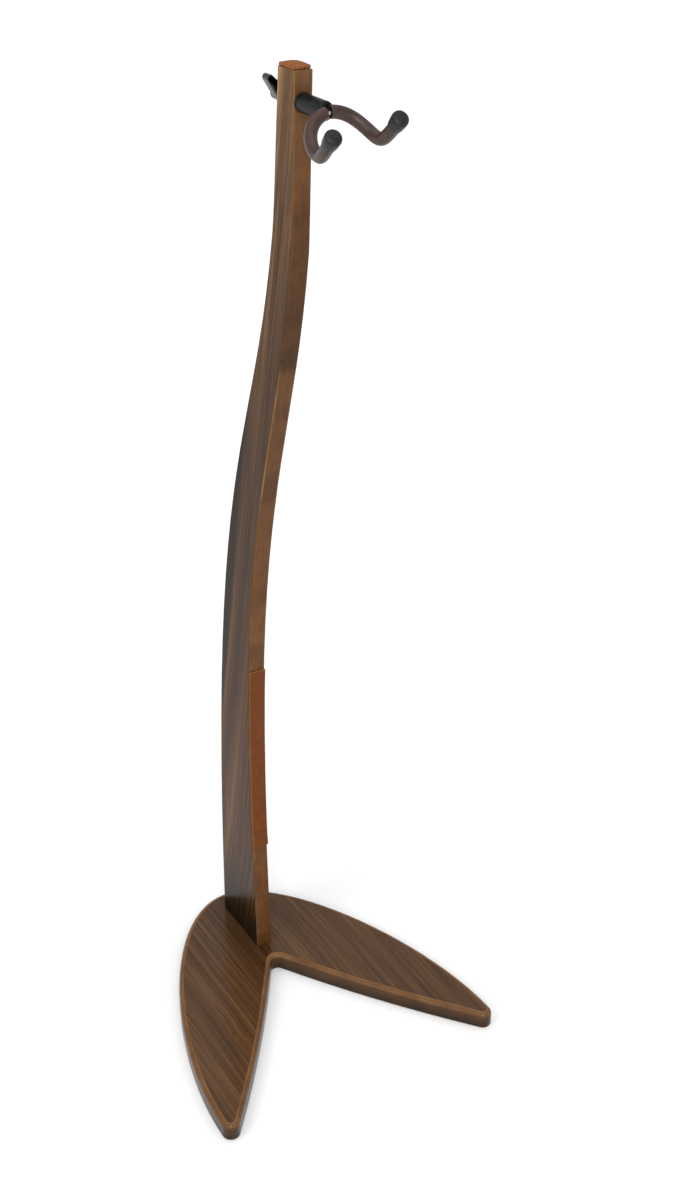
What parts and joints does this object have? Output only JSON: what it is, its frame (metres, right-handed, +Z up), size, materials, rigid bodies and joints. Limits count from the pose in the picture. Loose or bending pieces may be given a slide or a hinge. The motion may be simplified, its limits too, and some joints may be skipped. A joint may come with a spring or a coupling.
{
  "type": "guitar floor stand",
  "caption": "Free-standing wooden guitar stand: V-shaped base, S-curved upright with leather body pad, and a swivelling rubber-sleeved neck yoke clamped by a wing knob.",
  "frame": {"origin": "on the floor, under the middle of the base's bounding box; the stand's symmetry plane is X = 0", "axes": "+Z up along the upright; -Y to the stand's front, where the yoke and the hanging guitar are; +X to the right seen along +Y"},
  "size_m": [0.348, 0.346, 1.0735],
  "materials": {
    "plate_walnut": "satin lacquered walnut veneer",
    "upright_walnut": "satin lacquered walnut",
    "pad_suede": "suede",
    "top_suede": "suede",
    "sleeve_rubber": "matt foam rubber",
    "cap_rubber": "matt dipped rubber",
    "black_steel": "satin black powder coat",
    "zinc_steel": "zinc plated",
    "brass": "turned",
    "knob_nylon": "moulded black nylon",
    "fibre": "pressed fibre",
    "glide_rubber": "matt"
  },
  "bodies": {
    "stand": {"base_plate": "plate_walnut", "glide_front_left": "glide_rubber", "glide_front_right": "glide_rubber", "glide_rear_left": "glide_rubber", "glide_rear_right": "glide_rubber", "upright": "upright_walnut", "body_rest_pad": "pad_suede", "top_leather": "top_suede", "base_bolt_front": "zinc_steel", "base_bolt_rear": "zinc_steel", "bolt_washer_front": "zinc_steel", "bolt_washer_rear": "zinc_steel", "threaded_insert_front": "brass", "threaded_insert_rear": "brass", "fibre_washer": "fibre", "rear_washer": "zinc_steel"},
    "yoke": {"barrel": "black_steel", "stud": "zinc_steel", "yoke_rod": "black_steel", "rod_rivet": "zinc_steel", "sleeve_left": "sleeve_rubber", "sleeve_right": "sleeve_rubber", "cap_left": "cap_rubber", "cap_right": "cap_rubber"},
    "knob": {"wing_knob": "knob_nylon", "knob_insert": "brass"}
  },
  "joints": [
    {"name": "yoke_swivel", "type": "hinge", "parent": "stand", "child": "yoke", "pos_m": [0, -0.066, 1.0427], "axis": [0, 1, 0], "range_deg": [-83, 97]},
    {"name": "knob_turn", "type": "hinge", "parent": "yoke", "child": "knob", "pos_m": [0, -0.008, 1.0427], "axis": [0, 1, 0], "range_deg": [0, 360]}
  ]
}
